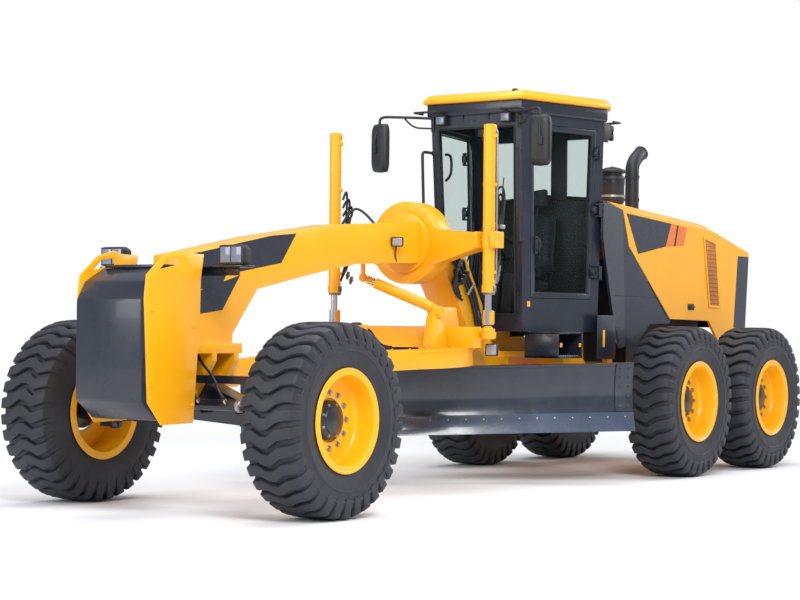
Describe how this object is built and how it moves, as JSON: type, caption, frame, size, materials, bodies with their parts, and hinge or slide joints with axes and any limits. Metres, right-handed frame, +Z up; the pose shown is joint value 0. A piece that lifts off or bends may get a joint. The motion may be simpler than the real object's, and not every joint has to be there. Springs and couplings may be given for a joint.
{
  "type": "motor grader",
  "caption": "Articulated six-wheel motor grader with gooseneck front frame, leaning front wheels, drawbar, circle and angled moldboard, glazed cab and tilting hood.",
  "frame": {"origin": "ground level, at the middle of the overall length and width", "axes": "+X forward to the nose, +Y to the machine's left, +Z up"},
  "size_m": [8.94, 2.665, 3.33],
  "materials": {
    "yellow_paint": "gloss",
    "rim_paint": "gloss",
    "charcoal_paint": "satin",
    "tyre_rubber": "matte",
    "tinted_glass": "clear",
    "rod_chrome": "polished",
    "edge_steel": "worn",
    "black_plastic": "matte",
    "seat_fabric": "woven"
  },
  "bodies": {
    "rear_body": {"rear_frame": "yellow_paint", "engine_block": "charcoal_paint", "cowl": "charcoal_paint", "cab_shell": "charcoal_paint", "cab_roof": "yellow_paint", "cab_glass": "tinted_glass", "operator_seat": "seat_fabric", "console": "black_plastic", "steps_and_rails": "charcoal_paint", "cab_lamps": "black_plastic"},
    "hood_body": {"hood": "yellow_paint", "rear_grille": "charcoal_paint", "stacks": "black_plastic"},
    "door_left_body": {"door_left": "charcoal_paint", "door_glass_left": "tinted_glass"},
    "door_right_body": {"door_right": "charcoal_paint", "door_glass_right": "tinted_glass"},
    "tandem_left_body": {"tandem_left": "yellow_paint"},
    "tandem_right_body": {"tandem_right": "yellow_paint"},
    "front_body": {"front_frame": "yellow_paint", "nose_block": "charcoal_paint", "nose_plates": "yellow_paint", "headlamps": "black_plastic", "saddle": "yellow_paint"},
    "axle_body": {"axle_beam": "yellow_paint"},
    "yoke_left_body": {"yoke_left": "yellow_paint"},
    "yoke_right_body": {"yoke_right": "yellow_paint"},
    "knuckle_left_body": {"knuckle_left": "yellow_paint"},
    "knuckle_right_body": {"knuckle_right": "yellow_paint"},
    "lean_bar_body": {"lean_bar": "charcoal_paint"},
    "tie_rod_body": {"tie_rod": "charcoal_paint"},
    "steer_rod_left_body": {"steer_rod_left": "rod_chrome"},
    "steer_rod_right_body": {"steer_rod_right": "rod_chrome"},
    "lift_barrel_left_body": {"lift_barrel_left": "charcoal_paint"},
    "lift_barrel_right_body": {"lift_barrel_right": "charcoal_paint"},
    "lift_rod_left_body": {"lift_rod_left": "rod_chrome"},
    "lift_rod_right_body": {"lift_rod_right": "rod_chrome"},
    "shift_barrel_body": {"shift_barrel": "charcoal_paint"},
    "shift_rod_body": {"shift_rod": "rod_chrome"},
    "drawbar_body": {"drawbar": "yellow_paint"},
    "circle_body": {"circle": "charcoal_paint"},
    "tilt_body": {"tilt_frame": "yellow_paint"},
    "blade_body": {"moldboard": "yellow_paint", "cutting_edge": "edge_steel", "side_shift_rod": "rod_chrome"},
    "wheel_front_left_body": {"tyre_front_left": "tyre_rubber", "rim_front_left": "rim_paint"},
    "wheel_front_right_body": {"tyre_front_right": "tyre_rubber", "rim_front_right": "rim_paint"},
    "wheel_middle_left_body": {"tyre_middle_left": "tyre_rubber", "rim_middle_left": "rim_paint"},
    "wheel_middle_right_body": {"tyre_middle_right": "tyre_rubber", "rim_middle_right": "rim_paint"},
    "wheel_rear_left_body": {"tyre_rear_left": "tyre_rubber", "rim_rear_left": "rim_paint"},
    "wheel_rear_right_body": {"tyre_rear_right": "tyre_rubber", "rim_rear_right": "rim_paint"}
  },
  "joints": [
    {"name": "articulation", "type": "hinge", "parent": "rear_body", "child": "front_body", "pos_m": [-0.45, 0, 0.98], "axis": [0, 0, 1], "range_deg": [-20, 20]},
    {"name": "hood_tilt", "type": "hinge", "parent": "rear_body", "child": "hood_body", "pos_m": [-4.345, 0, 1.24], "axis": [0, -1, 0], "range_deg": [0, 45]},
    {"name": "door_left_swing", "type": "hinge", "parent": "rear_body", "child": "door_left_body", "pos_m": [-1.004, 0.712, 2.35], "axis": [0, 0, 1], "range_deg": [0, 80]},
    {"name": "door_right_swing", "type": "hinge", "parent": "rear_body", "child": "door_right_body", "pos_m": [-1.004, -0.712, 2.35], "axis": [0, 0, -1], "range_deg": [0, 80]},
    {"name": "tandem_left_rock", "type": "hinge", "parent": "rear_body", "child": "tandem_left_body", "pos_m": [-2.6, 0.69, 0.67], "axis": [0, 1, 0], "range_deg": [-15, 15]},
    {"name": "tandem_right_rock", "type": "hinge", "parent": "rear_body", "child": "tandem_right_body", "pos_m": [-2.6, -0.69, 0.67], "axis": [0, 1, 0], "range_deg": [-15, 15]},
    {"name": "wheel_middle_left_spin", "type": "hinge", "parent": "tandem_left_body", "child": "wheel_middle_left_body", "pos_m": [-1.83, 1.0775, 0.67], "axis": [0, 1, 0], "continuous": true},
    {"name": "wheel_rear_left_spin", "type": "hinge", "parent": "tandem_left_body", "child": "wheel_rear_left_body", "pos_m": [-3.37, 1.0775, 0.67], "axis": [0, 1, 0], "continuous": true},
    {"name": "wheel_front_left_spin", "type": "hinge", "parent": "knuckle_left_body", "child": "wheel_front_left_body", "pos_m": [3.52, 1.11, 0.67], "axis": [0, 1, 0], "continuous": true},
    {"name": "wheel_middle_right_spin", "type": "hinge", "parent": "tandem_right_body", "child": "wheel_middle_right_body", "pos_m": [-1.83, -1.0775, 0.67], "axis": [0, 1, 0], "continuous": true},
    {"name": "wheel_rear_right_spin", "type": "hinge", "parent": "tandem_right_body", "child": "wheel_rear_right_body", "pos_m": [-3.37, -1.0775, 0.67], "axis": [0, 1, 0], "continuous": true},
    {"name": "wheel_front_right_spin", "type": "hinge", "parent": "knuckle_right_body", "child": "wheel_front_right_body", "pos_m": [3.52, -1.11, 0.67], "axis": [0, 1, 0], "continuous": true},
    {"name": "axle_oscillation", "type": "hinge", "parent": "front_body", "child": "axle_body", "pos_m": [3.52, 0, 0.86], "axis": [1, 0, 0], "range_deg": [-15, 15]},
    {"name": "lean_left", "type": "hinge", "parent": "axle_body", "child": "yoke_left_body", "pos_m": [3.52, 0.66, 0.67], "axis": [1, 0, 0], "range_deg": [-18, 18]},
    {"name": "lean_right", "type": "hinge", "parent": "axle_body", "child": "yoke_right_body", "pos_m": [3.52, -0.66, 0.67], "axis": [1, 0, 0], "range_deg": [-18, 18]},
    {"name": "lean_bar_pivot", "type": "hinge", "parent": "yoke_left_body", "child": "lean_bar_body", "pos_m": [3.695, 0.66, 0.93], "axis": [1, 0, 0], "range_deg": [-18, 18]},
    {"name": "steer_left", "type": "hinge", "parent": "yoke_left_body", "child": "knuckle_left_body", "pos_m": [3.52, 0.8, 0.67], "axis": [0, 0, 1], "range_deg": [-45, 45]},
    {"name": "steer_right", "type": "hinge", "parent": "yoke_right_body", "child": "knuckle_right_body", "pos_m": [3.52, -0.8, 0.67], "axis": [0, 0, 1], "range_deg": [-45, 45]},
    {"name": "tie_rod_slide", "type": "slide", "parent": "axle_body", "child": "tie_rod_body", "axis": [0, 1, 0], "range_m": [-0.132, 0.132]},
    {"name": "steer_rod_left_slide", "type": "slide", "parent": "axle_body", "child": "steer_rod_left_body", "axis": [0, 1, 0], "range_m": [-0.132, 0.132]},
    {"name": "steer_rod_right_slide", "type": "slide", "parent": "axle_body", "child": "steer_rod_right_body", "axis": [0, 1, 0], "range_m": [-0.132, 0.132]},
    {"name": "drawbar_lift", "type": "hinge", "parent": "front_body", "child": "drawbar_body", "pos_m": [3.25, 0, 0.95], "axis": [0, -1, 0], "range_deg": [0, 17]},
    {"name": "lift_barrel_left_swing", "type": "hinge", "parent": "front_body", "child": "lift_barrel_left_body", "pos_m": [0.9, 0.765, 2.01], "axis": [0, 1, 0], "range_deg": [-2, 2]},
    {"name": "lift_rod_left_stroke", "type": "slide", "parent": "lift_barrel_left_body", "child": "lift_rod_left_body", "axis": [0, 0, -1], "range_m": [0, 0.71]},
    {"name": "lift_barrel_right_swing", "type": "hinge", "parent": "front_body", "child": "lift_barrel_right_body", "pos_m": [0.9, -0.765, 2.01], "axis": [0, 1, 0], "range_deg": [-2, 2]},
    {"name": "lift_rod_right_stroke", "type": "slide", "parent": "lift_barrel_right_body", "child": "lift_rod_right_body", "axis": [0, 0, -1], "range_m": [0, 0.71]},
    {"name": "shift_barrel_swing", "type": "hinge", "parent": "drawbar_body", "child": "shift_barrel_body", "pos_m": [1.16, 0.42, 1.46], "axis": [-0.856, -0.126, 0.5013], "range_deg": [0, 32]},
    {"name": "shift_rod_stroke", "type": "slide", "parent": "shift_barrel_body", "child": "shift_rod_body", "axis": [0.3489, -0.8564, 0.3806], "range_m": [0, 0.3]},
    {"name": "circle_turn", "type": "hinge", "parent": "drawbar_body", "child": "circle_body", "pos_m": [1.09838, 0, 0.99503], "axis": [0.04, 0, 0.9992], "range_deg": [-95, 8]},
    {"name": "blade_tilt", "type": "hinge", "parent": "circle_body", "child": "tilt_body", "pos_m": [0.54259, -0.44995, 0.51686], "axis": [-0.6423, 0.766, 0.0257], "range_deg": [0, 30]},
    {"name": "blade_side_shift", "type": "slide", "parent": "tilt_body", "child": "blade_body", "axis": [0.6423, -0.766, -0.0257], "range_m": [0, 0.45]}
  ],
  "couplings": [
    {"joint": "lean_right", "follows": "lean_left", "ratio": 1},
    {"joint": "lean_bar_pivot", "follows": "lean_left", "ratio": -1},
    {"joint": "steer_right", "follows": "steer_left", "ratio": 1},
    {"joint": "tie_rod_slide", "follows": "steer_left", "m_per_rad": -0.165},
    {"joint": "steer_rod_left_slide", "follows": "steer_left", "m_per_rad": 0.165},
    {"joint": "steer_rod_right_slide", "follows": "steer_left", "m_per_rad": 0.165},
    {"joint": "lift_barrel_left_swing", "follows": "drawbar_lift", "ratio": 0.03},
    {"joint": "lift_rod_left_stroke", "follows": "drawbar_lift", "m_per_rad": 2.352},
    {"joint": "lift_barrel_right_swing", "follows": "drawbar_lift", "ratio": 0.03},
    {"joint": "lift_rod_right_stroke", "follows": "drawbar_lift", "m_per_rad": 2.352},
    {"joint": "shift_barrel_swing", "follows": "drawbar_lift", "ratio": 1.7003},
    {"joint": "shift_rod_stroke", "follows": "drawbar_lift", "m_per_rad": 0.965}
  ]
}
